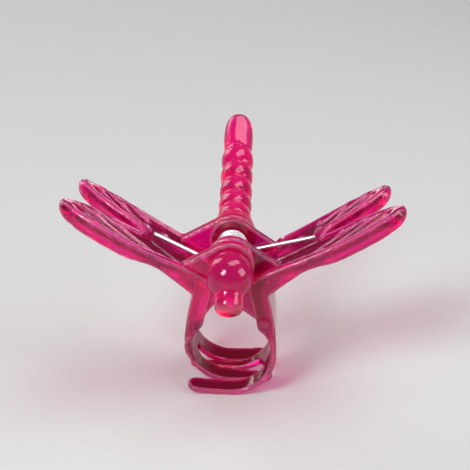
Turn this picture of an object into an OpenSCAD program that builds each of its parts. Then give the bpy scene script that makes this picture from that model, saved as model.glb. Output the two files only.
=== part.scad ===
// Spring clip for orchid stems, shaped as a dragonfly.
// Two clear plastic halves pivot on stub pins, and a torsion spring holds their claws shut.
// +X runs to the right wings, +Y along the hinge to the tail, +Z up.
// The origin is the centre of the round grip, half way along the hinge.

/* [Grip] */
// Inner radius of the closed claws
grip_r = 7.9; // [7.5:0.05:8.6]
// Thickness of the claws and of the arms' outer wall
wall = 1.1; // [1:0.05:1.4]
// Length of the grip along the hinge
grip_len = 16.4; // [15.8:0.1:18]
// Width of the front claw of the plain half
front_claw_w = 4.1; // [3.4:0.1:4.4]
// Width of the middle claw of the body half
middle_claw_w = 4.3; // [3.6:0.1:4.6]
// Width of the slim claw of the plain half
slim_claw_w = 2.1; // [1.8:0.1:2.6]
// Side gap between two claws that cross
claw_gap = 0.35; // [0.3:0.01:0.45]
// How far the claws reach past the middle
claw_reach = 8.4; // [8:0.1:9]
// Outer radius of the claws' flat, slightly raised tips
flare_r = 50; // [35:1:70]

/* [Arms] */
// Height of the hinge axis above the middle of the grip
hinge_h = 19.25; // [18.8:0.05:21]
// How far the arm leans in from the grip to the shoulder
arm_lean = 2; // [1.5:0.05:2.3]
// Depth of the ribs along the arms
rib_depth = 3.4; // [2.8:0.1:3.8]
// Width of the ribs along the hinge
rib_w = 1.6; // [1.2:0.1:2]

/* [Hinge] */
// Outer radius of the ears
ear_r = 4.5; // [4.2:0.05:4.8]
// Thickness of the plain half's ears
inner_ear_t = 1.6; // [1.5:0.05:1.9]
// Thickness of the body half's ears
outer_ear_t = 2.3; // [2:0.1:2.6]
// Side gap between two ears
ear_gap = 0.3; // [0.2:0.01:0.4]
// Radius of the stub pins on the body half's ears
pin_r = 1.5; // [1.3:0.01:1.6]
// Radial clearance of the stub pins in their bores
pin_clearance = 0.05; // [0.03:0.01:0.09]

/* [Spring] */
// Wire diameter
wire_d = 0.75; // [0.6:0.01:0.78]
// Radius of the coil, to the middle of the wire
coil_r = 2.6; // [2.3:0.01:2.7]
// Whole turns of the coil
coil_turns = 4; // [3:1:4]
// Rise of the coil in one turn
coil_pitch = 1.33; // [1.2:0.005:1.36]
// How far the legs reach from the hinge axis
leg_reach = 16; // [14:0.1:17]
// Side gap between the coil and the plain half's ears
coil_gap = 0.12; // [0.1:0.01:0.3]

/* [Wings] */
// Angle at which the wings rise
wing_rise = 25; // [22:0.5:28]
// Height of the thick front edge of a wing
wing_rim_h = 3.1; // [2.8:0.1:3.4]
// Height of the thin rear edge of a wing
wing_back_h = 2.4; // [2.1:0.1:2.7]
// Thickness of the wing skin
skin_t = 1.1; // [0.9:0.05:1.2]
// Length of a front wing
front_wing_len = 26.4; // [22:0.1:27.5]
// Half width of a front wing
front_wing_half = 4.55; // [4.3:0.05:4.9]
// Length of a rear wing
rear_wing_len = 24.3; // [21:0.1:26]
// Half width of a rear wing
rear_wing_half = 4.1; // [3.9:0.05:4.4]
// Width of the thick front edge
front_edge_w = 2.2; // [1.8:0.1:2.6]
// Length of the solid lobe at the tip of a wing
wing_lobe_len = 3.4; // [2.4:0.1:4]
// Width of the thin rear edge
back_edge_w = 1.1; // [0.8:0.1:1.4]
// Height of the veins above the skin
vein_h = 0.4; // [0.3:0.05:0.6]
// Width of the veins
vein_w = 0.6; // [0.4:0.05:0.8]
// Distance between two veins along a wing
vein_pitch = 3.9; // [3:0.1:5]
// Slant of the veins on a front wing
front_vein_a = 30; // [25:1:45]
// Slant of the veins on a rear wing
rear_vein_a = 40; // [30:1:55]

/* [Head and tail] */
// Radius of the head
head_r = 4.45; // [3.9:0.05:4.5]
// Radius of the snout
snout_r = 2.7; // [2.2:0.05:3]
// Length of the snout from the middle of the head
snout_len = 7.4; // [7:0.1:8]
// Angle of the snout below the hinge axis
snout_drop = 42; // [30:1:60]
// Angle at which the tail starts to rise
tail_rise = 6; // [4:0.5:12]
// Bend of the tail at each bead
tail_bend = 5.5; // [2:0.25:7]
// Number of beads in the tail
tail_beads = 5; // [4:1:6]
// Length of one bead
bead_len = 4.5; // [4:0.05:5]
// Largest radius of a bead
bead_r = 3.4; // [3:0.05:3.6]
// Depth of the groove between two beads
bead_groove = 0.45; // [0.4:0.05:0.9]
// Length of the tail's end piece
tail_end_len = 10.2; // [7:0.1:11]
// Half width of the tail's end piece
tail_end_r = 3.15; // [3:0.05:3.4]
// Thickness of the tail's flattened end piece
tail_end_t = 4.8; // [4:0.1:5.4]
// Radius of the tail's collar
collar_r = 4; // [3.8:0.05:4.2]
// Length of the tail's collar behind the ear
collar_len = 2.6; // [2:0.1:3.5]

/* [Hidden] */
$fn = 72;
big = 60;
join = 0.6;
step = 0.1;
wall_core_in = 0.3;
swing_gap = 0.4;
grip_out = grip_r + wall;
half_len = grip_len / 2;

// The grip: the right claws leave the circle at its lowest point and rise slightly.
front_y = -half_len;
middle_y0 = front_y + front_claw_w + claw_gap;
middle_y1 = middle_y0 + middle_claw_w;
slim_y0 = middle_y1 + claw_gap;
slim_y1 = slim_y0 + slim_claw_w;
rear_y0 = slim_y1 + claw_gap;
tip_taper = 1.4;
slot_end = 0.77 * grip_out;
claw_bend = 0.665 * grip_out;
tip_w = middle_claw_w - tip_taper - 0.3;

// The arms: an arc from the side of the grip in to the shoulder.
shoulder_z = hinge_h - 5.5;
arm_bow_r = (shoulder_z * shoulder_z + arm_lean * arm_lean) / (2 * arm_lean);
arm_x0 = grip_out - arm_bow_r;
rib_z0 = 0.16 * grip_out;
rib_z1 = rib_z0 + 3.2;
slant_z0 = -0.4 * grip_out;
slant_z1 = 0.36 * grip_out;
function arm_x(z, in = 0) = arm_x0 + sqrt((arm_bow_r - in) * (arm_bow_r - in) - z * z);

// The wings, in a plane that rises outwards from the wing root.
wing_x0 = grip_out - arm_lean + 2.5;
wing_z0 = hinge_h - 3.35;
skin_w0 = (wing_rim_h - skin_t) / 2 - 0.1;
skin_w1 = skin_w0 + skin_t;
function wing_pt(u, w) = [
    wing_x0 + u * cos(wing_rise) - w * sin(wing_rise),
    wing_z0 + u * sin(wing_rise) + w * cos(wing_rise)
];
front_sweep = 3.8;
rear_root = half_len - 1.2;
shoulder_u = 4.4;
wing_tip_r = 2.6;
wing_waist = 0.8;
waist_u = 6;
rear_sweep = 7.7;
web_in = 4.5;
web_out = 9;
flat_web_front = 3.4;
rim_fade = 2.6;
first_vein_u = 3.4;
outline_steps = 22;

// The middle line and half width of a wing, a share s of the way to its tip.
function front_mid(s) = -half_len / 2 + front_sweep * s * s;
function rear_mid(s) = rear_root / 2 + rear_sweep * pow(s, 1.5);
function wing_half(s, root, most) =
    (root + (most - root) * sin(min(s / 0.5, 1) * 90)) * sqrt(max(0, 1 - pow(s, 5)));
function step_s(i) = sin(90 * i / outline_steps);

// Underside of a wing: it is drawn in next to the shoulder.
function wing_low(u) = wing_waist * (1 + cos(min(180, 180 * abs(u / waist_u - 1)))) / 2;

// The spring's legs are tangents from the coil to points that rest on the wing skin.
leg_u = (leg_reach - wing_x0) / cos(wing_rise) + skin_w1 * tan(wing_rise);
leg_tip = wing_pt(leg_u, skin_w1 + wire_d / 2 + 0.06) - [0, hinge_h];
leg_tip_y = 1.2;
leg_knee = 0.22;
leg_end_gap = 0.8;
leg_d = norm(leg_tip);
leg_a = atan2(leg_tip[1], leg_tip[0]) - acos(coil_r / leg_d);
coil_over = 2 * (leg_a + 90);

// The hinge, from the coil outwards.
coil_y = coil_pitch * (coil_turns + coil_over / 360) / 2;
inner_ear_y0 = coil_y + wire_d / 2 + coil_gap;
inner_ear_y1 = inner_ear_y0 + inner_ear_t;
outer_ear_y0 = inner_ear_y1 + ear_gap;
outer_ear_y1 = outer_ear_y0 + outer_ear_t;
pin_y0 = coil_y - 0.1;
bore_r = pin_r + pin_clearance;

// Tangent point of a circle round the hinge axis, seen from p; side is 1 or -1.
function tangent(p, r, side) =
    let (q = p - [0, hinge_h], a = atan2(q[1], q[0]) + side * acos(r / norm(q)))
    [r * cos(a), hinge_h + r * sin(a)];
function polar(r, a) = [r * cos(a), r * sin(a)];

// Extrudes an outline in X and Z over a stretch of Y.
module along(y0, y1) {
    translate([0, (y0 + y1) / 2, 0]) rotate([90, 0, 0])
        linear_extrude(y1 - y0, center = true) children();
}

// Stands children on the right wings' plane, u outwards, Y along the hinge.
module on_wing() {
    translate([wing_x0, 0, wing_z0]) rotate([0, -wing_rise, 0]) children();
}

// Claw, arm wall and shoulder of a half, seen along the hinge.
module sheet_profile() {
    core = wall - 2 * wall_core_in;
    intersection() {
        difference() {
            circle(grip_out);
            circle(grip_r);
        }
        translate([0, -big]) square(big);
    }
    intersection() {
        translate([0, flare_r - grip_out]) difference() {
            circle(flare_r);
            circle(flare_r - wall);
        }
        translate([-big, -big]) square(big);
    }
    // Cores that tie the claw's two stretches and the arm together
    translate([-join / 2, wall_core_in - grip_out]) square([join, core]);
    translate([grip_r + wall_core_in, -join / 2]) square([core, join]);
    intersection() {
        difference() {
            translate([arm_x0, 0]) circle(arm_bow_r, $fn = 360);
            translate([arm_x0, 0]) circle(arm_bow_r - wall, $fn = 360);
        }
        polygon([[0, 0], [big, 0], [big, shoulder_z], [0, shoulder_z]]);
    }
    polygon([
        [arm_x(shoulder_z - join, step), shoulder_z - join], wing_pt(1, skin_w0),
        wing_pt(1, skin_w1), wing_pt(-1, skin_w1), [arm_x(shoulder_z, wall - step), shoulder_z],
        [arm_x(shoulder_z - join, wall - 3 * step), shoulder_z - join]
    ]);
}

// Plan of the right half's claws, or with body of the other half's, mirrored to the right.
module claw_plan(body) {
    y0 = body ? middle_y0 : slim_y0;
    y1 = body ? middle_y1 : slim_y1;
    edge_y0 = body ? rear_y0 : front_y;
    edge_y1 = body ? half_len : front_y + front_claw_w;
    edge_r = (edge_y1 - edge_y0) / 2;
    // The wide claw along one edge of the grip
    translate([edge_r - claw_reach, edge_y0]) square([claw_reach + big, 2 * edge_r]);
    translate([edge_r - claw_reach, edge_y0 + edge_r]) circle(edge_r);
    // The claw between the other half's two
    if (body) {
        polygon([
            [tip_w / 2 - claw_reach, y0], [claw_bend, y0], [grip_out, front_y],
            [big, front_y], [big, half_len], [slot_end, half_len], [slot_end, y1 + 1.2],
            [claw_bend, y1], [0, y1], [tip_w / 2 - claw_reach, y0 + tip_w]
        ]);
        translate([tip_w / 2 - claw_reach, y0 + tip_w / 2]) circle(tip_w / 2);
    } else {
        r = slim_claw_w / 2;
        polygon([
            [r - claw_reach, y0], [0, y0], [claw_bend, y0 - tip_taper * claw_bend / claw_reach],
            [slot_end, middle_y0 + 0.4], [slot_end, front_y], [big, front_y],
            [big, half_len], [grip_out, half_len], [claw_bend, y1], [r - claw_reach, y1]
        ]);
        translate([r - claw_reach, y0 + r]) circle(r);
    }
}

// Claws and arm wall of a half.
module jaw(body) {
    difference() {
        union() {
            intersection() {
                along(-half_len, half_len) sheet_profile();
                translate([0, 0, -big]) linear_extrude(3 * big) claw_plan(body);
            }
            along(-half_len, rib_w - half_len) rib_profile(wing_rim_h);
            along(half_len - rib_w, half_len) rib_profile(skin_w0 + 0.2);
        }
        corner_cut(body);
    }
}

// Slants the arm's edge in towards the claw nearest to it.
module corner_cut(body) {
    side = body ? -1 : 1;
    claw_y = body ? middle_y0 : slim_y1;
    rotate([90, 0, 90]) linear_extrude(big) polygon([
        [side * (half_len + 1), slant_z1 + 1], [side * half_len, slant_z1], [claw_y, slant_z0],
        [claw_y, -big], [side * (half_len + 1), -big]
    ]);
}

// Rib along one edge of an arm, from the grip up into the wing's thick front edge.
module rib_profile(top) {
    difference() {
        union() {
            intersection() {
                difference() {
                    translate([arm_x0, 0]) circle(arm_bow_r, $fn = 360);
                    translate([arm_x0, 0]) circle(arm_bow_r - rib_depth, $fn = 360);
                }
                polygon([
                    [arm_x(rib_z0, wall + 0.3), rib_z0], [big, rib_z0], [big, shoulder_z],
                    [0, shoulder_z], [0, rib_z1 + 1], [arm_x(rib_z1, rib_depth), rib_z1]
                ]);
            }
            polygon([
                [arm_x(shoulder_z - join, step), shoulder_z - join],
                wing_pt(shoulder_u, wing_low(shoulder_u)),
                wing_pt(shoulder_u, top), wing_pt(-1.6, top),
                [arm_x(shoulder_z + 1, rib_depth), shoulder_z + 2],
                [arm_x(shoulder_z, rib_depth - step), shoulder_z],
                [arm_x(shoulder_z - join, rib_depth - 3 * step), shoulder_z - join]
            ]);
        }
        translate([0, hinge_h]) circle(ear_r + swing_gap);
        circle(grip_r + step);
    }
}

// Ear: a disc round the hinge with a plate down to the arm.
module ear_profile(reach, low, high) {
    top = wing_pt(reach, skin_w1);
    difference() {
        union() {
            translate([0, hinge_h]) circle(ear_r);
            polygon([
                tangent(top, ear_r - step, 1), top, wing_pt(reach, skin_w0 + join),
                [arm_x(shoulder_z, join), shoulder_z],
                [arm_x(0.6 * shoulder_z, join), 0.6 * shoulder_z],
                [arm_x(low[1], join), low[1]], low, high, tangent(high, ear_r - step, -1)
            ]);
        }
        polygon([
            [grip_out + 1, shoulder_z - 0.4], wing_pt(0.9, skin_w0 - 0.1),
            [big, wing_z0], [big, shoulder_z - 0.4]
        ]);
    }
}

// Outline of a wing in its own plane, set in from the edges by the given widths.
module wing_outline(len, mid, root, most, front_in = 0, back_in = 0, tip_in = 0) {
    shift = (front_in - back_in) / 2;
    thin = (front_in + back_in) / 2;
    l = len - tip_in;
    polygon([
        for (i = [0:outline_steps])
            [l * step_s(i), mid(step_s(i)) + shift
                - wing_half(step_s(i), root - thin, most - thin)],
        for (i = [outline_steps - 1:-1:0])
            [l * step_s(i), mid(step_s(i)) + shift
                + wing_half(step_s(i), root - thin, most - thin)]
    ]);
}

// One wing: skin, thick front edge, thin rear edge and veins.
module wing(len, mid, root, most, lead, slant) {
    translate([0, 0, skin_w0]) linear_extrude(skin_t) wing_outline(len, mid, root, most);
    linear_extrude(wing_back_h) difference() {
        wing_outline(len, mid, root, most);
        wing_outline(len, mid, root, most, front_edge_w, back_edge_w, wing_lobe_len);
        square([3, big], center = true);
    }
    linear_extrude(wing_rim_h) difference() {
        wing_outline(len, mid, root, most);
        translate([0, front_edge_w]) wing_outline(len, mid, root, most + 0.6);
        translate([-3, lead + front_edge_w + 0.1]) square([6, big]);
    }
    translate([0, 0, skin_w1 - 0.1]) linear_extrude(vein_h + 0.1) intersection() {
        wing_outline(len, mid, root, most, 1, 0.6, wing_lobe_len - 0.4);
        veins(len, mid, root, most, slant);
    }
}

// Side view of a wing: the drawn-in underside and the rounded tip.
module wing_side(len) {
    steps = 6;
    tip_w = wing_rim_h / 2;
    u1 = len - wing_tip_r;
    rotate([90, 0, 0]) linear_extrude(2 * big, center = true) polygon([
        [-big, 0], for (i = [0:2 * steps]) [i * waist_u / steps, wing_low(i * waist_u / steps)],
        for (a = [0:90 / steps:180])
            [u1 + wing_tip_r * sin(a), tip_w - (tip_w + 0.02) * cos(a)],
        [-big, wing_rim_h + 0.02]
    ]);
}

// Veins of a wing: ribs that slant outwards from its front edge to its rear edge.
module veins(len, mid, root, most, slant) {
    for (u = [first_vein_u:vein_pitch:len]) {
        translate([u, mid(u / len) - wing_half(u / len, root, most) + front_edge_w / 2])
            rotate(slant) translate([0, -vein_w / 2]) square([big, vein_w]);
    }
}

// Wing pair with a flat web between the roots, on which a spring leg rests.
module wing_pair(ears_y) {
    on_wing() difference() {
        union() {
            intersection() {
                wing(front_wing_len, function(s) front_mid(s), half_len / 2, front_wing_half,
                    -half_len, front_vein_a);
                wing_side(front_wing_len);
            }
            intersection() {
                wing(rear_wing_len, function(s) rear_mid(s), rear_root / 2, rear_wing_half, 0,
                    rear_vein_a);
                wing_side(rear_wing_len);
            }
            translate([0, 0, skin_w0]) linear_extrude(skin_t) polygon([
                [-web_in, -ears_y], [0, -ears_y], [web_out, -1], [web_out, 2], [0, ears_y],
                [-web_in, ears_y]
            ]);
        }
        translate([0, rear_root - back_edge_w, 0]) rotate([90, 0, 0])
            linear_extrude(flat_web_front + rear_root - back_edge_w) polygon([
                [-web_in - 1, skin_w1], [leg_u + leg_end_gap, skin_w1],
                [leg_u + leg_end_gap + rim_fade * (big - skin_w1), big], [-web_in - 1, big]
            ]);
    }
}

// Right half: the plain one, whose ears lie inside the other half's.
module plain_half() {
    color([0.9, 0.1, 0.42, 0.8]) difference() {
        union() {
            jaw(false);
            wing_pair(inner_ear_y0 + join);
            for (side = [-1, 1]) {
                lo = min(side * inner_ear_y0, side * inner_ear_y1);
                along(lo, lo + inner_ear_t)
                    ear_profile(0.8, polar(grip_r + 0.5, 35), polar(grip_r + 0.85, 78));
            }
        }
        translate([0, 0, hinge_h]) rotate([90, 0, 0])
            cylinder(r = bore_r, h = 2 * inner_ear_y1 + 2, center = true);
    }
}

// Left half: carries the head, the tail and the stub pins.
module body_half() {
    color([0.9, 0.1, 0.42, 0.8]) {
        mirror([1, 0, 0]) {
            jaw(true);
            wing_pair(outer_ear_y0 + join);
            for (side = [-1, 1]) {
                lo = min(side * outer_ear_y0, side * outer_ear_y1);
                along(lo, lo + outer_ear_t)
                    ear_profile(1.8, polar(grip_r + 1.65, 57), polar(grip_r + 3.05, 72));
            }
        }
        stub_pins();
        head();
        tail();
    }
}

module stub_pins() {
    for (side = [-1, 1]) {
        translate([0, side * (pin_y0 + outer_ear_y0 + join) / 2, hinge_h]) rotate([90, 0, 0])
            cylinder(r = pin_r, h = outer_ear_y0 + join - pin_y0, center = true);
    }
}

// Head: a ball on the front ear, a little below its middle, with a blunt snout.
head_drop = 0.8;
snout_edge_r = 1.6;

module head() {
    ball_y = -outer_ear_y1 - 0.65 * head_r;
    steps = 5;
    translate([0, ball_y, hinge_h - head_drop]) {
        sphere(head_r);
        rotate([90 + snout_drop, 0, 0]) rotate_extrude() polygon([
            [0, 0], [snout_r, 0],
            for (a = [0:90 / steps:90])
                [snout_r, snout_len] - snout_edge_r * [1 - cos(a), 1 - sin(a)],
            [0, snout_len]
        ]);
    }
}

// Tail: a collar, a row of beads that curves upwards and a flattened end piece.
tail_in = 1;
groove_r = bead_r - bead_groove;
bead_lap = 0.4;
bead_end_r = groove_r - step;
bead_start_r = bead_end_r - 2 * step;
function bead_curve(x) =
    bead_end_r + (bead_r - bead_end_r) * pow(abs(sin(180 * x)), 0.6);
function end_curve(x) = groove_r + (tail_end_r - groove_r) * sin(min(90, 200 * x));

module tail() {
    translate([0, outer_ear_y1 - tail_in, hinge_h]) rotate([tail_rise - 90, 0, 0]) {
        rotate_extrude() polygon([
            [0, 0], [collar_r, 0], [collar_r, tail_in + collar_len - 0.5],
            [bead_end_r, tail_in + collar_len], [0, tail_in + collar_len]
        ]);
        translate([0, 0, tail_in + collar_len]) beads(tail_beads);
    }
}

// A bead on a ball, and behind it the rest of the tail, bent up by one step.
module beads(left) {
    sphere(groove_r);
    if (left > 0) {
        bead();
        translate([0, 0, bead_len]) rotate([tail_bend, 0, 0]) beads(left - 1);
    } else {
        tail_end();
    }
}

module bead() {
    steps = 8;
    rotate_extrude() polygon([
        [0, -bead_lap], [bead_start_r, -bead_lap], [bead_start_r, 0],
        for (i = [1:steps]) [bead_curve(i / steps), bead_len * i / steps],
        [0, bead_len]
    ]);
}

module tail_end() {
    steps = 10;
    intersection() {
        rotate_extrude() polygon([
            [0, -bead_lap], [bead_start_r, -bead_lap], [bead_start_r, 0],
            for (i = [1:steps - 1])
                let (x = i / steps)
                [end_curve(x) * sqrt(1 - pow(x, 5)), tail_end_len * x],
            [0, tail_end_len]
        ]);
        cube([big, tail_end_t, big], center = true);
    }
}

// Spring wire: left leg, coil and right leg as one tube.
spring_sides = 6;
curl_rings = 8;
coil_span = 360 * coil_turns + coil_over;
coil_rings = ceil(coil_span / 360 * curl_rings);
function leg_point(k) = [leg_tip[0] * k, leg_tip[1]];
function coil_point(i) =
    let (a = 270 - coil_over / 2 + coil_span * i / coil_rings)
    [coil_r * cos(a), coil_y * (2 * i / coil_rings - 1), hinge_h + coil_r * sin(a)];
leg_z = hinge_h + leg_tip[1];
left_foot = coil_point(0);
right_foot = coil_point(coil_rings);
left_end = [-leg_tip[0], leg_tip_y, leg_z];
right_end = [leg_tip[0], leg_tip_y, leg_z];
function mix(a, b, k) = a + (b - a) * k;
left_knee = mix(left_foot, [-leg_tip[0], -coil_y, leg_z], leg_knee);
right_knee = mix(right_foot, [leg_tip[0], coil_y, leg_z], leg_knee);
near_end = wire_d / norm(left_end - left_knee);
spring_path = [
    left_end, mix(left_end, left_knee, near_end), mix(left_end, left_knee, 0.5), left_knee,
    mix(left_knee, left_foot, 0.5), for (i = [0:coil_rings]) coil_point(i),
    mix(right_foot, right_knee, 0.5), right_knee, mix(right_end, right_knee, 0.5),
    mix(right_end, right_knee, near_end), right_end
];

// Direction of the path at point i, and the ring of points round it.
function unit(v) = v / norm(v);
function heading(p, i) =
    unit(p[min(i + 1, len(p) - 1)] - p[max(i - 1, 0)]);
function ring(p, i) =
    let (t = heading(p, i), out = unit(cross([0, 1, 0], t)), side = cross(t, out))
    [for (k = [0:spring_sides - 1])
        p[i] + wire_d / 2 * (out * cos(60 * k) + side * sin(60 * k))];

module torsion_spring() {
    n = spring_sides;
    last = len(spring_path) - 1;
    points = [for (i = [0:last]) each ring(spring_path, i)];
    sides = [for (i = [0:last - 1]) for (k = [0:n - 1])
        let (a = i * n + k, b = i * n + (k + 1) % n)
        each [[a, a + n, b], [b, a + n, b + n]]];
    caps = [for (k = [1:n - 2]) each [
        [0, k, k + 1], [last * n, last * n + k + 1, last * n + k]
    ]];
    color("silver") polyhedron(points, concat(sides, caps));
}

// Least gap between parts of the wire more than half a turn apart, legs included.
wire_points = [
    for (k = [6:-1:1]) mix(left_knee, left_end, k / 6),
    for (k = [6:-1:1]) mix(left_foot, left_knee, k / 6),
    for (i = [0:coil_rings]) coil_point(i),
    for (k = [1:6]) mix(right_foot, right_knee, k / 6),
    for (k = [1:6]) mix(right_knee, right_end, k / 6)
];
wire_last = len(wire_points) - 1;
least_gap = min([for (i = [0:wire_last]) for (j = [i + curl_rings / 2:1:wire_last])
    norm(wire_points[i] - wire_points[j])]) - wire_d;
echo(least_spring_gap = least_gap);

body_half();
plain_half();
torsion_spring();
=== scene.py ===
"""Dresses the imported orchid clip: two moulded halves, a wound spring and their stage."""
import math
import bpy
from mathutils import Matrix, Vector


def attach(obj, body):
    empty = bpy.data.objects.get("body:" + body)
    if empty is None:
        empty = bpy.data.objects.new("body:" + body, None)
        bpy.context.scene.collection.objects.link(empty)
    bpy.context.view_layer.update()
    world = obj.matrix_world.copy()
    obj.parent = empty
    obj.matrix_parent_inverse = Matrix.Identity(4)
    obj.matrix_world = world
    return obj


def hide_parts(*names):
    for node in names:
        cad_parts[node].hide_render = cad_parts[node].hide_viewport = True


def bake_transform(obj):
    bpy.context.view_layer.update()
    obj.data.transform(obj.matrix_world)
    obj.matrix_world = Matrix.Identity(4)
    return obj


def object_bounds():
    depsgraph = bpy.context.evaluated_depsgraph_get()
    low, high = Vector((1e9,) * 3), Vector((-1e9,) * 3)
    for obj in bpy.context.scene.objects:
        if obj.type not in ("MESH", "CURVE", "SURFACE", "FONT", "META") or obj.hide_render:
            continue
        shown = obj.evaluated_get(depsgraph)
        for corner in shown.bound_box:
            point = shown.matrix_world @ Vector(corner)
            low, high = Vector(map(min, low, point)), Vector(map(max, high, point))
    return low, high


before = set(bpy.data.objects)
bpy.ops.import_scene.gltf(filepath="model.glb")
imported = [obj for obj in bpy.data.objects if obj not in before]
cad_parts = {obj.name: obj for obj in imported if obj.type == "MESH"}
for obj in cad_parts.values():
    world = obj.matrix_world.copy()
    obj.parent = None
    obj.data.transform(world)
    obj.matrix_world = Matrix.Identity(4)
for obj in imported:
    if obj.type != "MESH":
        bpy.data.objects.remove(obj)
CAD_BOX = [list(corner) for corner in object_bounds()]

import bmesh
import bpy
import numpy as np
from bpy.props import FloatProperty, FloatVectorProperty, IntProperty, PointerProperty
from bpy.types import Operator, Panel, PropertyGroup
from mathutils import Matrix, Vector
from mathutils.bvhtree import BVHTree

bl_info = {
    "name": "Orchid clip dressing",
    "version": (1, 0, 0),
    "blender": (4, 5, 0),
    "location": "3D View > Sidebar > Clip",
    "description": "Builds the moulded halves, the spring and the stage of an orchid clip",
    "category": "Object",
}

MM = 0.001


class ClipSizes(PropertyGroup):
    """Sizes of the clip's finished pieces, taken from the CAD part."""

    hinge_height: FloatProperty(
        name="Hinge height", description="Height of the hinge axis above the grip's middle",
        default=19.25 * MM, unit="LENGTH")
    wing_root_x: FloatProperty(
        name="Wing root, sideways", description="Distance of the wing root from the middle",
        default=9.5 * MM, unit="LENGTH")
    wing_root_z: FloatProperty(
        name="Wing root, height", description="Height of the underside of the wing root",
        default=15.9 * MM, unit="LENGTH")
    wing_rise: FloatProperty(
        name="Wing rise", description="Angle at which the wings rise",
        default=math.radians(25), subtype="ANGLE")
    skin_top: FloatProperty(
        name="Skin top", description="Height of the wing skin's upper face in the wing's plane",
        default=2.0 * MM, unit="LENGTH")
    vein_pitch: FloatProperty(
        name="Vein pitch", description="Distance between two veins along a wing",
        default=3.9 * MM, unit="LENGTH")
    vein_radius: FloatProperty(
        name="Vein radius", description="Half the width of a vein",
        default=0.36 * MM, unit="LENGTH")
    grain: FloatProperty(
        name="Fusing grain", description="Size of the cells in which a half is fused to one skin",
        default=0.24 * MM, unit="LENGTH")
    wire_radius: FloatProperty(
        name="Wire radius", description="Half the spring wire's diameter",
        default=0.375 * MM, unit="LENGTH")
    coil_radius: FloatProperty(
        name="Coil radius", description="Radius of the coil to the middle of the wire",
        default=2.6 * MM, unit="LENGTH")
    coil_half: FloatProperty(
        name="Half coil length", description="Half the coil's length to the middle of the wire",
        default=2.725 * MM, unit="LENGTH")
    coil_turns: IntProperty(
        name="Coil turns", description="Whole turns of the close-wound coil", default=5)


class ClipColours(PropertyGroup):
    """Colours of the clip and its stage."""

    plastic: FloatVectorProperty(
        name="Plastic", description="Body colour of the moulded plastic",
        default=(0.99, 0.03, 0.42), subtype="COLOR", size=3)
    # Painted shade: a dark colour for thin walls, standing in for the darkness seen through thin
    # plastic.
    plastic_thin_painted_shade: FloatVectorProperty(
        name="Plastic, thin", description="Body colour where the wall is thin",
        default=(0.32, 0.005, 0.08), subtype="COLOR", size=3)
    # Painted highlight: a paler colour laid on sharp convex edges, veins and bulbs, standing in
    # for the light lines that they catch.
    plastic_edge_painted_highlight: FloatVectorProperty(
        name="Plastic, edges", description="Paler colour where the edges gather light",
        default=(1.0, 0.42, 0.76), subtype="COLOR", size=3)
    plastic_dye: FloatVectorProperty(
        name="Plastic dye", description="Colour that light keeps in thick plastic",
        default=(0.99, 0.0, 0.91), subtype="COLOR", size=3)
    steel: FloatVectorProperty(
        name="Steel", description="Colour of the spring wire",
        default=(0.28, 0.285, 0.29), subtype="COLOR", size=3)
    floor: FloatVectorProperty(
        name="Floor", description="Colour of the floor",
        default=(0.58, 0.58, 0.58), subtype="COLOR", size=3)


def sizes():
    return bpy.context.scene.clip_sizes


def colours():
    return bpy.context.scene.clip_colours


# Mesh helpers. Halves are shaped in millimetres and brought to metres at the end.

def node_copy(node):
    """A bmesh of a CAD node, merged and in millimetres."""
    bm = bmesh.new()
    bm.from_mesh(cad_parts[node].data)
    bmesh.ops.scale(bm, vec=(1 / MM,) * 3, verts=bm.verts)
    bmesh.ops.remove_doubles(bm, verts=bm.verts, dist=1e-4)
    return bm


def add_ball(bm, centre, radii, turn=None):
    """A ball stretched to three radii, turned, then moved to its centre."""
    turn = turn or Matrix.Identity(4)
    place = Matrix.Translation(centre) @ turn @ Matrix.Diagonal((*radii, 1))
    bmesh.ops.create_uvsphere(bm, u_segments=20, v_segments=12, radius=1, matrix=place)


def path_frames(points):
    """A placing matrix at each point of a path, its Z axis along the path."""
    frames = []
    for i, p in enumerate(points):
        ahead = points[min(i + 1, len(points) - 1)] - points[max(i - 1, 0)]
        frames.append(Matrix.Translation(p) @ ahead.to_track_quat("Z", "Y").to_matrix().to_4x4())
    return frames


def untwisted(frames):
    """The same frames, each turned about the path so that it twists as little as it can."""
    done = [frames[0]]
    for f in frames[1:]:
        last_x = done[-1].to_3x3() @ Vector((1, 0, 0))
        z = f.to_3x3() @ Vector((0, 0, 1))
        x = (last_x - z * last_x.dot(z)).normalized()
        turn = Matrix((x, z.cross(x), z)).transposed()
        done.append(Matrix.Translation(f.translation) @ turn.to_4x4())
    return done


def add_tube(bm, points, radii, sides=10):
    """A closed round bar along a path, with a radius at each point."""
    frames = untwisted(path_frames(points))
    start = bmesh.ops.create_circle(
        bm, cap_ends=True, segments=sides, radius=radii[0], matrix=frames[0])["verts"]
    ring = start
    edges = [e for e in bm.edges if e.verts[0] in ring and e.verts[1] in ring and e.is_boundary]
    for i in range(1, len(points)):
        made = bmesh.ops.extrude_edge_only(bm, edges=edges)["geom"]
        ring = [g for g in made if isinstance(g, bmesh.types.BMVert)]
        edges = [g for g in made if isinstance(g, bmesh.types.BMEdge)
                 and all(v in ring for v in g.verts)]
        size = Matrix.Scale(radii[i] / radii[i - 1], 4)
        step = frames[i] @ size @ frames[i - 1].inverted()
        bmesh.ops.transform(bm, matrix=step, verts=ring)
    bmesh.ops.contextual_create(bm, geom=edges)
    return ring


def evenly_spaced(points, step):
    """Points about a step apart along a path."""
    out = [points[0]]
    for a, b in zip(points, points[1:]):
        n = max(1, round((b - a).length / step))
        out += [a.lerp(b, i / n) for i in range(1, n + 1)]
    return out


def new_piece(name, mesh):
    piece = bpy.data.objects.new(name, mesh)
    bpy.context.scene.collection.objects.link(piece)
    return piece


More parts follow.
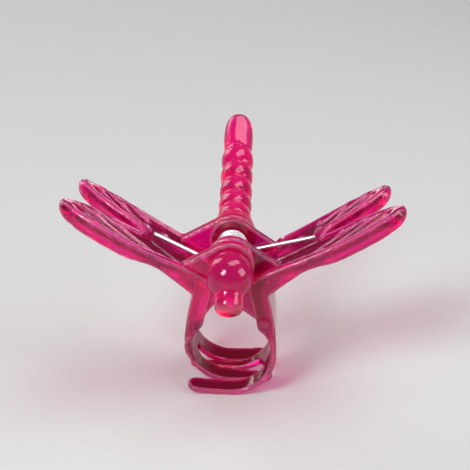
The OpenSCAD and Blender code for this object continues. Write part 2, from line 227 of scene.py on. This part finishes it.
def fused(name, bm, grain, rounds):
    """One closed skin round everything in bm, with its edges softened."""
    mesh = bpy.data.meshes.new(name + "_parts")
    bm.to_mesh(mesh)
    bm.free()
    parts = new_piece(name + "_parts", mesh)
    fuse = parts.modifiers.new("Fuse", "REMESH")
    fuse.mode = "VOXEL"
    fuse.voxel_size = grain
    fuse.adaptivity = 0
    graph = bpy.context.evaluated_depsgraph_get()
    skin = bpy.data.meshes.new_from_object(parts.evaluated_get(graph))
    bpy.data.objects.remove(parts)
    out = bmesh.new()
    out.from_mesh(skin)
    bpy.data.meshes.remove(skin)
    bpy.data.meshes.remove(mesh)
    for _ in range(rounds):
        bmesh.ops.smooth_vert(
            out, verts=out.verts, factor=0.5, use_axis_x=True, use_axis_y=True, use_axis_z=True)
    if not out.faces:
        raise RuntimeError(f"{name} came out empty")
    return out


def blurred(values, ends, rounds, share=0.6):
    """Point values averaged with their neighbours along the mesh's edges."""
    a, b = ends[0::2], ends[1::2]
    near = np.bincount(ends, minlength=len(values))
    for _ in range(rounds):
        total = np.bincount(a, values[b], len(values)) + np.bincount(b, values[a], len(values))
        values = (1 - share) * values + share * total / near
    return values


def mark_form(mesh, reach=4.0):
    """Stores at each point the plastic's thickness in millimetres, and how sharp an edge is. The
    material paints shade by the thickness and paints highlights on the sharp edges.
    """
    bm = bmesh.new()
    bm.from_mesh(mesh)
    tree = BVHTree.FromBMesh(bm)
    deep = np.full(len(bm.verts), reach)
    bend = np.zeros(len(bm.verts))
    for v in bm.verts:
        hit = tree.ray_cast(v.co - v.normal * 0.02 * MM, -v.normal, reach * MM)
        if hit[3] is not None:
            deep[v.index] = hit[3] / MM
        near = [e.other_vert(v).co for e in v.link_edges]
        bend[v.index] = v.normal.dot(v.co - sum(near, Vector()) / len(near)) / MM
    bm.free()
    ends = np.empty(len(mesh.edges) * 2, dtype=np.int64)
    mesh.edges.foreach_get("vertices", ends)
    for name, values, rounds in (("thickness", deep, 5), ("edge", bend, 2)):
        mark = mesh.attributes.new(name, "FLOAT", "POINT")
        mark.data.foreach_set("value", blurred(values, ends, rounds))


def finish_piece(name, bm, material):
    """Brings a bmesh from millimetres to metres as a smooth-shaded piece."""
    bmesh.ops.scale(bm, vec=(MM,) * 3, verts=bm.verts)
    bmesh.ops.recalc_face_normals(bm, faces=bm.faces)
    mesh = bpy.data.meshes.new(name)
    bm.to_mesh(mesh)
    bm.free()
    mesh.shade_smooth()
    piece = new_piece(name, mesh)
    mesh.materials.append(material)
    return piece


# The wings. Their shape follows the CAD's, in a plane that rises outwards. A wing's values are
# its length, its half width at the root and at most, the slant of its veins in degrees, how far
# across it a vein swells, and its middle line y by the share s of its length. Lengths are in mm.

FRONT_WING = {
    "length": 26.4, "root": 4.1, "most": 4.55, "slant": 30, "bulb": 0.4,
    "mid": lambda s: -4.1 + 3.8 * s * s}
REAR_WING = {
    "length": 24.3, "root": 3.5, "most": 4.1, "slant": 40, "bulb": 0.2,
    "mid": lambda s: 3.5 + 7.7 * s**1.5}
BETWEEN_WINGS_Y = 3.4
TIP_LENGTH = 4.2
FIRST_VEIN = 3.4
VEIN_IN = 1.1
VEIN_STEP = 0.35
VEIN_STEPS = 60
VEIN_ENDS_ACROSS = 0.86
FRONT_WEB = (9.2, -3.4)
REAR_WEB = (9.2, -99)
DASH_ALONG = 2.1
DASH_RADII = (1.3, 0.3, 0.7)
BULB_RADII = (0.95, 0.5, 0.8)
RIM_IN = 0.3
RIM_LINE_START = 3.2
RIM_LINE_STEP = 0.45
RIM_LINE_STEPS = 46
RIM_LINE_RADIUS = 0.17
THUMB_FROM_END = 2.75
BACK_WALL_HEIGHTS = (0.45, 0.95, 1.45, 1.95)
BACK_WALL_START = 6
BACK_WALL_STEP = 0.55
BACK_WALL_STEPS = 29
BACK_WALL_RADIUS = 0.4


def half_width(wing, s):
    grow = math.sin(math.radians(min(s / 0.5, 1) * 90))
    return (wing["root"] + (wing["most"] - wing["root"]) * grow) * math.sqrt(max(0, 1 - s**5))


def wing_place(side, u, y, w):
    """The point u along, y across and w above the plane of the wings on one side."""
    size = sizes()
    c, s = math.cos(size.wing_rise), math.sin(size.wing_rise)
    return Vector((
        side * (size.wing_root_x / MM + u * c - w * s), y,
        size.wing_root_z / MM + u * s + w * c))


def wing_turn(side, slant):
    """Turns a shape that lies along X so that it lies along a slanted vein."""
    rise = sizes().wing_rise
    turn = Matrix.Rotation(-rise, 4, "Y") @ Matrix.Rotation(math.radians(slant), 4, "Z")
    return turn if side > 0 else Matrix.Diagonal((-1, 1, 1, 1)) @ turn


def add_vein(bm, side, wing, u, web):
    """One slanted vein from u along the wing, clear of the flat web that ends at web."""
    size = sizes()
    top, r = size.skin_top / MM, size.vein_radius / MM
    slant = math.radians(wing["slant"])
    s = u / wing["length"]
    y = wing["mid"](s) - half_width(wing, s) + VEIN_IN
    points, radii, bulb = [], [], None
    for k in range(VEIN_STEPS):
        at_u, at_y = u + VEIN_STEP * k * math.cos(slant), y + VEIN_STEP * k * math.sin(slant)
        if at_u > wing["length"] - 1:
            break
        here = at_u / wing["length"]
        across = (at_y - wing["mid"](here)) / half_width(wing, here)
        if across > VEIN_ENDS_ACROSS:
            break
        if at_u < web[0] and at_y > web[1]:
            continue
        swell = math.exp(-((across - wing["bulb"]) / 0.2) ** 2)
        points.append(wing_place(side, at_u, at_y, top + 0.05 + 0.2 * swell))
        radii.append(r * (0.6 + 0.5 * swell))
        if bulb is None and across > wing["bulb"]:
            bulb = (at_u, at_y)
    if len(points) < 4:
        return
    add_tube(bm, points, radii, 8)
    dash = (u + DASH_ALONG * math.cos(slant), y + DASH_ALONG * math.sin(slant))
    add_ball(bm, wing_place(side, *dash, top + 0.25), DASH_RADII,
             wing_turn(side, wing["slant"] - 8))
    if bulb:
        add_ball(bm, wing_place(side, *bulb, top + 0.15), BULB_RADII,
                 wing_turn(side, wing["slant"] + 8))


def add_veins(bm, side, wing, web):
    """Slanted veins: thin at the front edge, swelling to a bulb, then thin to the rear edge."""
    u = FIRST_VEIN
    while u < wing["length"] - 2:
        add_vein(bm, side, wing, u, web)
        u += sizes().vein_pitch / MM


def add_wing_tip(bm, side, wing):
    """The rounded solid thumb at the end of a wing."""
    u = wing["length"] - THUMB_FROM_END
    s = u / wing["length"]
    add_ball(bm, wing_place(side, u, wing["mid"](s), 1.45),
             (2.6, 0.86 * half_width(wing, s), 1.5), wing_turn(side, 16))


def add_rim_line(bm, side, wing, skin):
    """A fine bead on the skin along the inner edge of a front wing's rim."""
    rise = sizes().wing_rise
    down = Vector((side * math.sin(rise), 0, -math.cos(rise)))
    above = 7
    points = []
    for k in range(RIM_LINE_STEPS):
        u = RIM_LINE_START + RIM_LINE_STEP * k
        s = u / wing["length"]
        start = wing_place(side, u, wing["mid"](s) - half_width(wing, s) + RIM_IN, above)
        hit = skin.ray_cast(start, down)
        if hit[0] is not None and hit[3] < above - 1.8:
            points.append(hit[0])
    radii = [RIM_LINE_RADIUS - 0.05 * abs(2 * i / len(points) - 1) for i in range(len(points))]
    add_tube(bm, points, radii, 8)


def add_back_wall(bm, side, wing, skin):
    """Bars inside a wing's thin back wall, so that fusing doesn't tear it."""
    for w in BACK_WALL_HEIGHTS:
        points = []
        for k in range(BACK_WALL_STEPS):
            u = BACK_WALL_START + BACK_WALL_STEP * k
            s = u / wing["length"]
            start = wing_place(side, u, wing["mid"](s) + half_width(wing, s) + 3, w)
            hit = skin.ray_cast(start, Vector((0, -1, 0)), 4.5)
            if hit[0] is not None:
                points.append(hit[0] - Vector((0, BACK_WALL_RADIUS, 0)))
        if len(points) > 3:
            add_tube(bm, points, [BACK_WALL_RADIUS] * len(points), 8)


def add_wing_solids(bm, side):
    """The thumbs and back walls of the wings on a side, fused with the half."""
    add_back_wall(bm, side, REAR_WING, BVHTree.FromBMesh(bm))
    add_wing_tip(bm, side, FRONT_WING)
    add_wing_tip(bm, side, REAR_WING)


def add_wing_lines(skin, side):
    """Crisp veins and rim line, set into the fused skin."""
    bm = bmesh.new()
    add_rim_line(bm, side, FRONT_WING, BVHTree.FromBMesh(skin))
    add_veins(bm, side, FRONT_WING, FRONT_WEB)
    add_veins(bm, side, REAR_WING, REAR_WEB)
    mesh = bpy.data.meshes.new("wing_lines")
    bm.to_mesh(mesh)
    bm.free()
    skin.from_mesh(mesh)
    bpy.data.meshes.remove(mesh)


def soften(bm, rounds, inside):
    """Smooths the points for which inside is true."""
    verts = [v for v in bm.verts if inside(v.co)]
    for _ in range(rounds):
        bmesh.ops.smooth_vert(
            bm, verts=verts, factor=0.5, use_axis_x=True, use_axis_y=True, use_axis_z=True)


def at_wing_tip(p):
    """Whether a point lies in the rounded lobe at the end of a wing."""
    size = sizes()
    c, s = math.cos(size.wing_rise), math.sin(size.wing_rise)
    u = (abs(p.x) - size.wing_root_x / MM) * c + (p.z - size.wing_root_z / MM) * s
    wing = FRONT_WING if p.y < BETWEEN_WINGS_Y else REAR_WING
    return u > wing["length"] - TIP_LENGTH


# Materials

def node_material(name):
    mat = bpy.data.materials.new(name)
    mat.use_nodes = True
    nt = mat.node_tree
    return mat, nt, nt.nodes["Principled BSDF"], nt.nodes["Material Output"]


def object_noise(nt, scale, detail=3.0, rough=0.5, stretch=(1, 1, 1)):
    """Noise that reads the piece's own coordinates."""
    coord = nt.nodes.new("ShaderNodeTexCoord")
    place = nt.nodes.new("ShaderNodeMapping")
    place.inputs["Scale"].default_value = stretch
    noise = nt.nodes.new("ShaderNodeTexNoise")
    noise.inputs["Scale"].default_value = scale
    noise.inputs["Detail"].default_value = detail
    noise.inputs["Roughness"].default_value = rough
    nt.links.new(coord.outputs["Object"], place.inputs["Vector"])
    nt.links.new(place.outputs["Vector"], noise.inputs["Vector"])
    return noise.outputs["Fac"]


def spread(nt, source, low, high, start=0.0, end=1.0):
    """Maps a value from start..end to low..high."""
    m = nt.nodes.new("ShaderNodeMapRange")
    m.inputs["From Min"].default_value = start
    m.inputs["From Max"].default_value = end
    m.inputs["To Min"].default_value = low
    m.inputs["To Max"].default_value = high
    nt.links.new(source, m.inputs["Value"])
    return m.outputs["Result"]


def tint(nt, factor, low, high):
    """A colour between two, by a factor. Each is a colour or the output of a node."""
    m = nt.nodes.new("ShaderNodeMix")
    m.data_type = "RGBA"
    for name, colour in (("A", low), ("B", high)):
        if isinstance(colour, bpy.types.NodeSocket):
            nt.links.new(colour, m.inputs[name])
        else:
            m.inputs[name].default_value = (colour[0], colour[1], colour[2], 1)
    nt.links.new(factor, m.inputs["Factor"])
    return m.outputs["Result"]


def bump(nt, shader, height, strength, distance):
    b = nt.nodes.new("ShaderNodeBump")
    b.inputs["Strength"].default_value = strength
    b.inputs["Distance"].default_value = distance
    nt.links.new(height, b.inputs["Height"])
    nt.links.new(b.outputs["Normal"], shader.inputs["Normal"])


def moulded_plastic():
    """Clear magenta plastic with the faint haze, flow lines and ripples of a moulding, painted
    shade on its thin walls and painted highlights on its sharp edges.
    """
    if "moulded_plastic" in bpy.data.materials:
        return bpy.data.materials["moulded_plastic"]
    mat, nt, shader, out = node_material("moulded_plastic")
    # Painted shade: thin walls are darkened and thick parts keep the bright body colour, standing
    # in for the darkness seen through thin plastic.
    wall = nt.nodes.new("ShaderNodeAttribute")
    wall.attribute_name = "thickness"
    body = tint(nt, spread(nt, wall.outputs["Fac"], 0, 1, 1.15, 2.6),
                colours().plastic_thin_painted_shade, colours().plastic)
    # Painted highlight: sharp convex edges, veins and bulbs are paled towards the edge colour,
    # standing in for the light lines that they catch.
    rim = nt.nodes.new("ShaderNodeAttribute")
    rim.attribute_name = "edge"
    body = tint(nt, spread(nt, rim.outputs["Fac"], 0, 0.85, 0.0055, 0.012),
                body, colours().plastic_edge_painted_highlight)
    haze = object_noise(nt, 160, 4, 0.55, (1, 0.6, 1.4))
    shade = tint(nt, spread(nt, haze, 0, 1, 0.35, 0.65), (0.86, 0.8, 0.84), (1, 1, 1))
    colour = nt.nodes.new("ShaderNodeMix")
    colour.data_type = "RGBA"
    colour.blend_type = "MULTIPLY"
    colour.inputs["Factor"].default_value = 1
    nt.links.new(body, colour.inputs["A"])
    nt.links.new(shade, colour.inputs["B"])
    nt.links.new(colour.outputs["Result"], shader.inputs["Base Color"])
    shader.inputs["Transmission Weight"].default_value = 0.8
    shader.inputs["IOR"].default_value = 1.5
    shader.inputs["Specular IOR Level"].default_value = 0.2
    nt.links.new(spread(nt, object_noise(nt, 420, 3), 0.02, 0.07, 0.3, 0.7),
                 shader.inputs["Roughness"])
    shader.inputs["Subsurface Weight"].default_value = 0.3
    shader.inputs["Subsurface Radius"].default_value = (1.0, 0.15, 0.35)
    shader.inputs["Subsurface Scale"].default_value = 0.0012
    bump(nt, shader, object_noise(nt, 520, 2, 0.5, (1, 1, 0.5)), 0.35, 0.00012)
    # Lamps shine through, so that the floor's shadow is pink and the inside isn't dark
    clear = nt.nodes.new("ShaderNodeBsdfTransparent")
    clear.inputs["Color"].default_value = (0.68, 0.42, 0.52, 1)
    path = nt.nodes.new("ShaderNodeLightPath")
    mix = nt.nodes.new("ShaderNodeMixShader")
    nt.links.new(path.outputs["Is Shadow Ray"], mix.inputs["Fac"])
    nt.links.new(shader.outputs["BSDF"], mix.inputs[1])
    nt.links.new(clear.outputs["BSDF"], mix.inputs[2])
    nt.links.new(mix.outputs["Shader"], out.inputs["Surface"])
    dye = nt.nodes.new("ShaderNodeVolumeAbsorption")
    dye.inputs["Color"].default_value = (*colours().plastic_dye, 1)
    dye.inputs["Density"].default_value = 2400
    nt.links.new(dye.outputs["Volume"], out.inputs["Volume"])
    return mat


def spring_steel():
    """Drawn steel wire, bright, with fine draw lines round it and painted shade on the sides of
    its windings.
    """
    if "spring_steel" in bpy.data.materials:
        return bpy.data.materials["spring_steel"]
    mat, nt, shader, _ = node_material("spring_steel")
    base = Vector(colours().steel)
    lines = object_noise(nt, 2600, 2, 0.6, (1, 0.25, 1))
    # Painted shade: the windings' sides, where they face each other, are darkened, standing in
    # for the shade between the windings
    face = nt.nodes.new("ShaderNodeNewGeometry")
    split = nt.nodes.new("ShaderNodeSeparateXYZ")
    nt.links.new(face.outputs["Normal"], split.inputs["Vector"])
    side = nt.nodes.new("ShaderNodeMath")
    side.operation = "ABSOLUTE"
    nt.links.new(split.outputs["Y"], side.inputs[0])
    bright = tint(nt, lines, base * 0.85, base * 1.15)
    shaded = tint(nt, spread(nt, side.outputs[0], 0, 1, 0.08, 0.35), bright, (0.03, 0.03, 0.035))
    nt.links.new(shaded, shader.inputs["Base Color"])
    shader.inputs["Metallic"].default_value = 1
    nt.links.new(spread(nt, lines, 0.1, 0.18, 0.3, 0.7), shader.inputs["Roughness"])
    bump(nt, shader, lines, 0.1, 0.000001)
    return mat


# The halves' own small forms, in mm

TAIL_RISE = math.radians(33.5)
TAIL_LAST_BEAD = (0, 30.4, 24.5)
TAIL_HALF_WIDTH = 3
ARM_LEAN = math.radians(15.7)
LEFT_ARM_FILL = ((-7.0, -6.1, 12.4), (0.5, 0.7, 1.7))
RIGHT_ARM_FILL = ((7.1, 5.3, 11.7), (0.5, 0.9, 2.7))
NUB = ((6.45, -7.8, 7.5), (1.25, 0.95, 1.4))
FINER = 0.88
PIN_DRAW = 0.9
PIN_REACH = (1.75, 4.9)


def crown_tail_end(bm):
    """Gives the flat faces of the tail's end a slight crown."""
    along = Vector((0, math.cos(TAIL_RISE), math.sin(TAIL_RISE)))
    up = Vector((0, -math.sin(TAIL_RISE), math.cos(TAIL_RISE)))
    root = Vector(TAIL_LAST_BEAD)
    for v in bm.verts:
        q = v.co - root
        out = q.dot(along) - 1.5
        if out > 0:
            share = 0.2 * min(1, out / 2) * (v.co.x / TAIL_HALF_WIDTH) ** 2
            v.co -= up * q.dot(up) * share


def draw_in_pins(bm):
    """Draws the hinge pins in a little, so that they turn freely in the other half's bores."""
    axis = Vector((0, 0, sizes().hinge_height / MM))
    for v in bm.verts:
        out = Vector((v.co.x, 0, v.co.z - axis.z))
        if out.length < PIN_REACH[0] and abs(v.co.y) < PIN_REACH[1]:
            v.co = axis + out * PIN_DRAW + Vector((0, v.co.y, 0))


def at_rib_foot(p):
    """Whether a point lies at the lower end of the rib on an arm's front edge."""
    return p.y < -6.2 and 1.0 < p.z < 6.2 and abs(p.x) > 5


def at_grip_corner(p, side, out_to):
    """Whether a point lies where the front plate of the arm on a side meets the grip."""
    return p.y < -5.5 and 4 < p.z < 9 and 3.5 < side * p.x < out_to


class CLIP_OT_body_half(Operator):
    """Fuses the left half with its wing veins, head and tail into one moulded skin"""

    bl_idname = "clip.body_half"
    bl_label = "Build body half"

    def execute(self, context):
        bm = node_copy("body_half")
        add_wing_solids(bm, -1)
        add_ball(bm, *LEFT_ARM_FILL, Matrix.Rotation(ARM_LEAN, 4, "Y"))
        skin = fused("body_half_skin", bm, sizes().grain / MM, 3)
        soften(skin, 10, at_wing_tip)
        soften(skin, 25, at_rib_foot)
        soften(skin, 25, lambda p: at_grip_corner(p, -1, 20))
        crown_tail_end(skin)
        draw_in_pins(skin)
        add_wing_lines(skin, -1)
        piece = finish_piece("body_half_skin", skin, moulded_plastic())
        mark_form(piece.data)
        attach(piece, "body_side")
        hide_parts("body_half")
        return {"FINISHED"}


class CLIP_OT_plain_half(Operator):
    """Fuses the right half with its wing veins into one moulded skin"""

    bl_idname = "clip.plain_half"
    bl_label = "Build plain half"

    def execute(self, context):
        bm = node_copy("plain_half")
        add_wing_solids(bm, 1)
        add_ball(bm, *RIGHT_ARM_FILL, Matrix.Rotation(-ARM_LEAN, 4, "Y"))
        add_ball(bm, *NUB)
        skin = fused("plain_half_skin", bm, sizes().grain / MM * FINER, 3)
        soften(skin, 10, at_wing_tip)
        soften(skin, 25, lambda p: at_rib_foot(p) and p.z < 5)
        soften(skin, 25, lambda p: at_grip_corner(p, 1, 5.4))
        add_wing_lines(skin, 1)
        piece = finish_piece("plain_half_skin", skin, moulded_plastic())
        mark_form(piece.data)
        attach(piece, "plain_side")
        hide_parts("plain_half")
        return {"FINISHED"}


# The spring, in mm. A leg's knee is the share of its way at which it bends towards the web.

COIL_OVER = math.radians(33.3)
STEPS_PER_TURN = 24
WIRE_SIDES = 12
LEG_TIP = (15.5, 1.2, 21.53)
LEG_TIP_OUT = 0.4
LEG_KNEE = 0.22
LEG_STEP = 0.8


class CLIP_OT_spring(Operator):
    """Winds the spring's coil and lays its two legs on the wings"""

    bl_idname = "clip.spring"
    bl_label = "Build spring"

    def execute(self, context):
        size = sizes()
        wire, radius, half = size.wire_radius / MM, size.coil_radius / MM, size.coil_half / MM
        axis_z = size.hinge_height / MM
        span = 2 * math.pi * size.coil_turns + COIL_OVER
        steps = STEPS_PER_TURN * size.coil_turns
        coil = []
        for i in range(steps + 1):
            a = 1.5 * math.pi - COIL_OVER / 2 + span * i / steps
            y = half * (2 * i / steps - 1)
            coil.append(Vector((radius * math.cos(a), y, axis_z + radius * math.sin(a))))
        bm = bmesh.new()
        add_tube(bm, coil, [wire] * len(coil), WIRE_SIDES)
        piece = finish_piece("spring_coil", bm, spring_steel())
        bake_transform(piece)
        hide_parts("torsion_spring")
        for side, name, body, foot in (
                (-1, "spring_leg_left", "body_side", coil[0]),
                (1, "spring_leg_right", "plain_side", coil[-1])):
            tip = Vector(LEG_TIP)
            tip.x = side * (tip.x + side * LEG_TIP_OUT)
            knee = foot.lerp(Vector((tip.x, foot.y, tip.z)), LEG_KNEE)
            bm = bmesh.new()
            line = evenly_spaced([foot, knee, tip], LEG_STEP)
            add_tube(bm, line, [wire] * len(line), WIRE_SIDES)
            leg = finish_piece(name, bm, spring_steel())
            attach(leg, body)
        return {"FINISHED"}


# The stage, in metres and watts. A lamp is its name, place, size and power.

LAMPS = (
    ("key", (-0.28, -0.32, 0.42), (0.2, 0.26), 2.9),
    ("fill", (0.42, -0.1, 0.28), (0.25, 0.25), 1.0),
    ("overhead", (0.12, 0.12, 0.5), (0.22, 0.44), 1.25),
    ("rim", (-0.3, 0.35, 0.22), (0.2, 0.3), 0.5),
    ("back_low", (0.0, 0.5, 0.07), (0.2, 0.09), 0.14))
LAMPS_AIM = (0, 0, 0.01)
FLOOR_HALF = 1.5
FLOOR_BELOW = 0.00002
PHOTO_WIDTH = 470
FOCAL_PX = 1178
SENSOR_MM = 36
SHIFT_PX = (3, 45.8)
VIEW_TURN, VIEW_HEIGHT, VIEW_ROLL = math.radians(2), math.radians(28), math.radians(0.4)
VIEW_TARGET = Vector((0, 1.1, 11.65)) * MM
VIEW_DISTANCE = 0.231


def lay_floor():
    """A wide pale floor just under the clip."""
    bm = bmesh.new()
    bmesh.ops.create_grid(bm, x_segments=8, y_segments=8, size=FLOOR_HALF)
    bmesh.ops.translate(bm, vec=(0, 0, CAD_BOX[0][2] - FLOOR_BELOW), verts=bm.verts)
    mesh = bpy.data.meshes.new("floor")
    bm.to_mesh(mesh)
    bm.free()
    floor = new_piece("floor", mesh)
    mat, nt, shader, _ = node_material("floor")
    pale = Vector(colours().floor)
    nt.links.new(tint(nt, object_noise(nt, 40), pale * 0.985, pale), shader.inputs["Base Color"])
    shader.inputs["Roughness"].default_value = 0.85
    mesh.materials.append(mat)


def light_room():
    """A world that lights the clip by height, and looks pale where the camera meets it."""
    world = bpy.data.worlds.new("pale_room")
    bpy.context.scene.world = world
    world.use_nodes = True
    nt = world.node_tree
    back = nt.nodes["Background"]
    back.inputs["Color"].default_value = (1, 1, 1, 1)
    coord = nt.nodes.new("ShaderNodeTexCoord")
    split = nt.nodes.new("ShaderNodeSeparateXYZ")
    nt.links.new(coord.outputs["Generated"], split.inputs["Vector"])
    seen = nt.nodes.new("ShaderNodeLightPath")
    level = nt.nodes.new("ShaderNodeMix")
    nt.links.new(seen.outputs["Is Camera Ray"], level.inputs["Factor"])
    nt.links.new(spread(nt, split.outputs["Z"], 0.34, 0.06, 0.0, 0.35), level.inputs["A"])
    level.inputs["B"].default_value = 0.6
    nt.links.new(level.outputs["Result"], back.inputs["Strength"])


def hang_lamps():
    """Soft lamps round the clip, out of the camera's sight."""
    for name, place, size, power in LAMPS:
        data = bpy.data.lights.new(name, "AREA")
        data.shape = "RECTANGLE"
        data.size, data.size_y = size
        data.energy = power
        lamp = bpy.data.objects.new(name, data)
        bpy.context.scene.collection.objects.link(lamp)
        lamp.location = place
        aim = Vector(LAMPS_AIM) - Vector(place)
        lamp.rotation_euler = aim.to_track_quat("-Z", "Y").to_euler()
        lamp.visible_camera = False


def place_camera():
    """The camera at the photograph's viewing angle."""
    back_way = Vector((
        math.sin(VIEW_TURN) * math.cos(VIEW_HEIGHT), -math.cos(VIEW_TURN) * math.cos(VIEW_HEIGHT),
        math.sin(VIEW_HEIGHT)))
    data = bpy.data.cameras.new("camera")
    data.sensor_width = SENSOR_MM
    data.lens = SENSOR_MM * FOCAL_PX / PHOTO_WIDTH
    data.clip_start, data.clip_end = 0.005, 10
    data.shift_x, data.shift_y = SHIFT_PX[0] / PHOTO_WIDTH, SHIFT_PX[1] / PHOTO_WIDTH
    cam = bpy.data.objects.new("camera", data)
    bpy.context.scene.collection.objects.link(cam)
    turn = (-back_way).to_track_quat("-Z", "Y").to_matrix().to_4x4()
    turn = turn @ Matrix.Rotation(VIEW_ROLL, 4, "Z")
    cam.matrix_world = Matrix.Translation(VIEW_TARGET + back_way * VIEW_DISTANCE) @ turn
    bpy.context.scene.camera = cam


class CLIP_OT_stage(Operator):
    """Lays the floor and sets the lamps, the world and the camera"""

    bl_idname = "clip.stage"
    bl_label = "Build stage"

    def execute(self, context):
        context.scene.view_settings.view_transform = "Standard"
        lay_floor()
        light_room()
        hang_lamps()
        place_camera()
        return {"FINISHED"}


class VIEW3D_PT_clip(Panel):
    """Lists the clip's sizes, colours and building steps"""

    bl_label = "Orchid clip"
    bl_space_type = "VIEW_3D"
    bl_region_type = "UI"
    bl_category = "Clip"

    def draw(self, context):
        for group in (context.scene.clip_sizes, context.scene.clip_colours):
            box = self.layout.box()
            for name in group.bl_rna.properties.keys():
                if name not in ("rna_type", "name"):
                    box.prop(group, name)
        for step in STEPS:
            self.layout.operator(step.bl_idname)


STEPS = (CLIP_OT_body_half, CLIP_OT_plain_half, CLIP_OT_spring, CLIP_OT_stage)
CLASSES = (ClipSizes, ClipColours, *STEPS, VIEW3D_PT_clip)


def register():
    for c in CLASSES:
        bpy.utils.register_class(c)
    bpy.types.Scene.clip_sizes = PointerProperty(type=ClipSizes)
    bpy.types.Scene.clip_colours = PointerProperty(type=ClipColours)


def unregister():
    del bpy.types.Scene.clip_colours
    del bpy.types.Scene.clip_sizes
    for c in reversed(CLASSES):
        bpy.utils.unregister_class(c)


def main():
    register()
    bpy.ops.clip.body_half()
    bpy.ops.clip.plain_half()
    bpy.ops.clip.spring()
    bpy.ops.clip.stage()


if __name__ == "__main__":
    main()
